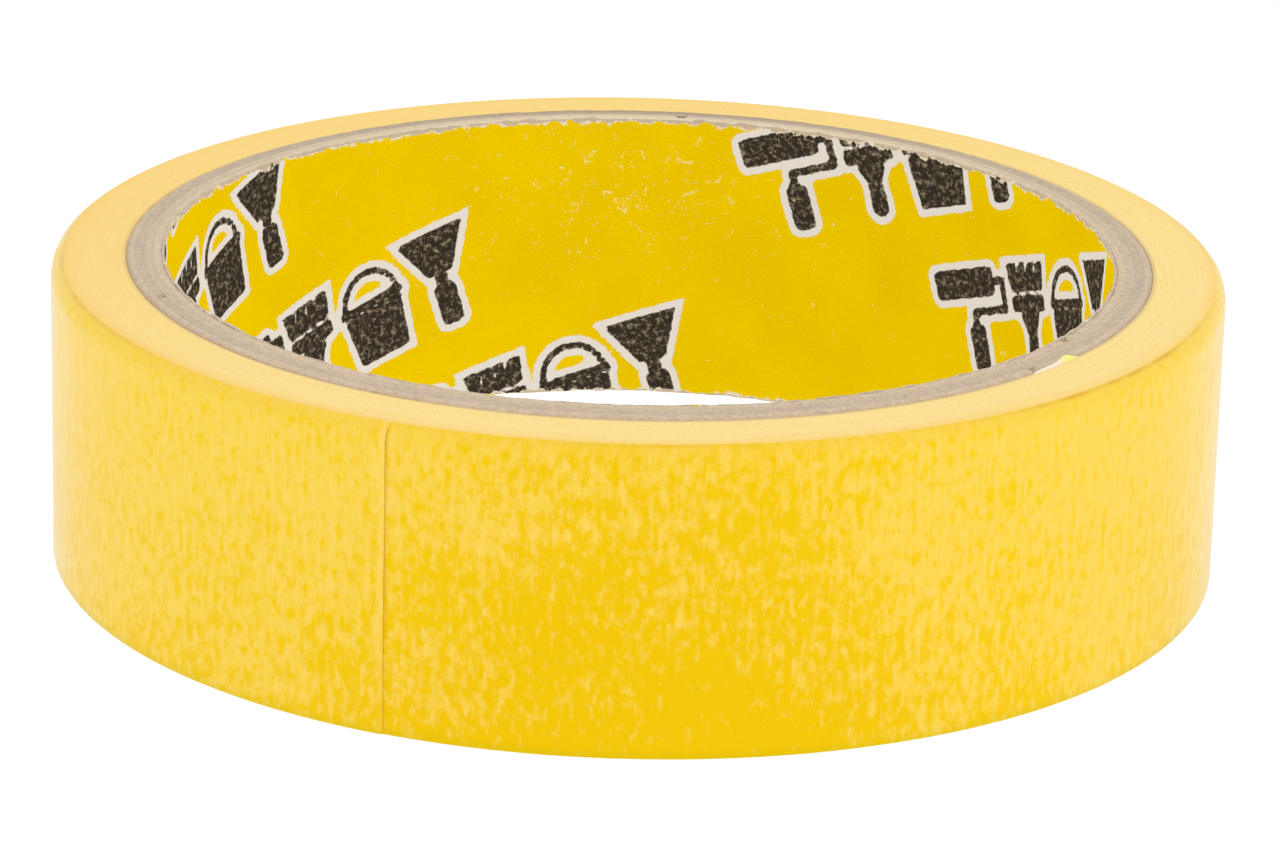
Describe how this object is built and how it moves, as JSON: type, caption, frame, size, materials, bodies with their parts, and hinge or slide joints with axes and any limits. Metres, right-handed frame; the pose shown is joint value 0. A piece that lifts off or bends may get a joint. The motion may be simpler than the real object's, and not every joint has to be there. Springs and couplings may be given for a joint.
{
  "type": "masking tape roll",
  "caption": "Roll of crepe paper masking tape wound on a spiral-wound cardboard core with a printed paper liner. The free end of the tape peels off.",
  "frame": {"origin": "centre of the side face that the roll rests on, on the roll's axis", "axes": "+Z along the roll's axis, up out of the resting face; the free end of the tape lies on the outer wall 23 degrees from -Y towards -X, and the strip runs on from there towards -X"},
  "size_m": [0.0939, 0.0938, 0.0248],
  "materials": {
    "crepe_tape": "matte crepe paper, yellow",
    "core_chipboard": "matte grey chipboard",
    "core_liner_paper": "printed paper, saturated yellow with charcoal pictograms"
  },
  "bodies": {
    "roll": {"core_liner": "core_liner_paper", "core_ply_1": "core_chipboard", "core_ply_2": "core_chipboard", "core_ply_3": "core_chipboard", "core_ply_4": "core_chipboard", "tape_windings": "crepe_tape", "tape_outer_turn": "crepe_tape"},
    "free_fold_1": {"tape_fold_1": "crepe_tape"},
    "free_fold_2": {"tape_fold_2": "crepe_tape"},
    "free_fold_3": {"tape_fold_3": "crepe_tape"},
    "free_fold_4": {"tape_fold_4": "crepe_tape"},
    "free_end_1": {"tape_end_1": "crepe_tape"},
    "free_end_2": {"tape_end_2": "crepe_tape"},
    "free_end_3": {"tape_end_3": "crepe_tape"},
    "free_end_4": {"tape_end_4": "crepe_tape"},
    "free_end_5": {"tape_end_5": "crepe_tape"}
  },
  "joints": [
    {"name": "tape_end_peel", "type": "hinge", "parent": "roll", "child": "free_fold_1", "pos_m": [-0.04585, -0.01059, 0.0123], "axis": [0, 0, -1], "range_deg": [0, 22.5]},
    {"name": "bend_of_tape_fold_2", "type": "hinge", "parent": "free_fold_1", "child": "free_fold_2", "pos_m": [-0.04506, -0.01356, 0.0123], "axis": [0, 0, -1], "range_deg": [0, 22.5]},
    {"name": "bend_of_tape_fold_3", "type": "hinge", "parent": "free_fold_2", "child": "free_fold_3", "pos_m": [-0.04408, -0.01648, 0.0123], "axis": [0, 0, -1], "range_deg": [0, 22.5]},
    {"name": "bend_of_tape_fold_4", "type": "hinge", "parent": "free_fold_3", "child": "free_fold_4", "pos_m": [-0.04291, -0.01933, 0.0123], "axis": [0, 0, -1], "range_deg": [0, 22.5]},
    {"name": "bend_of_tape_end_1", "type": "hinge", "parent": "free_fold_4", "child": "free_end_1", "pos_m": [-0.04156, -0.0221, 0.0123], "axis": [0, 0, -1], "range_deg": [0, 5.62]},
    {"name": "bend_of_tape_end_2", "type": "hinge", "parent": "free_end_1", "child": "free_end_2", "pos_m": [-0.03818, -0.02754, 0.0123], "axis": [0, 0, -1], "range_deg": [0, 5.62]},
    {"name": "bend_of_tape_end_3", "type": "hinge", "parent": "free_end_2", "child": "free_end_3", "pos_m": [-0.03409, -0.03247, 0.0123], "axis": [0, 0, -1], "range_deg": [0, 5.62]},
    {"name": "bend_of_tape_end_4", "type": "hinge", "parent": "free_end_3", "child": "free_end_4", "pos_m": [-0.02938, -0.0368, 0.0123], "axis": [0, 0, -1], "range_deg": [0, 5.62]},
    {"name": "bend_of_tape_end_5", "type": "hinge", "parent": "free_end_4", "child": "free_end_5", "pos_m": [-0.02411, -0.04045, 0.0123], "axis": [0, 0, -1], "range_deg": [0, 5.62]}
  ],
  "couplings": [
    {"joint": "bend_of_tape_fold_2", "follows": "tape_end_peel", "ratio": 1},
    {"joint": "bend_of_tape_fold_3", "follows": "tape_end_peel", "ratio": 1},
    {"joint": "bend_of_tape_fold_4", "follows": "tape_end_peel", "ratio": 1},
    {"joint": "bend_of_tape_end_1", "follows": "tape_end_peel", "ratio": 0.25},
    {"joint": "bend_of_tape_end_2", "follows": "tape_end_peel", "ratio": 0.25},
    {"joint": "bend_of_tape_end_3", "follows": "tape_end_peel", "ratio": 0.25},
    {"joint": "bend_of_tape_end_4", "follows": "tape_end_peel", "ratio": 0.25},
    {"joint": "bend_of_tape_end_5", "follows": "tape_end_peel", "ratio": 0.25}
  ]
}
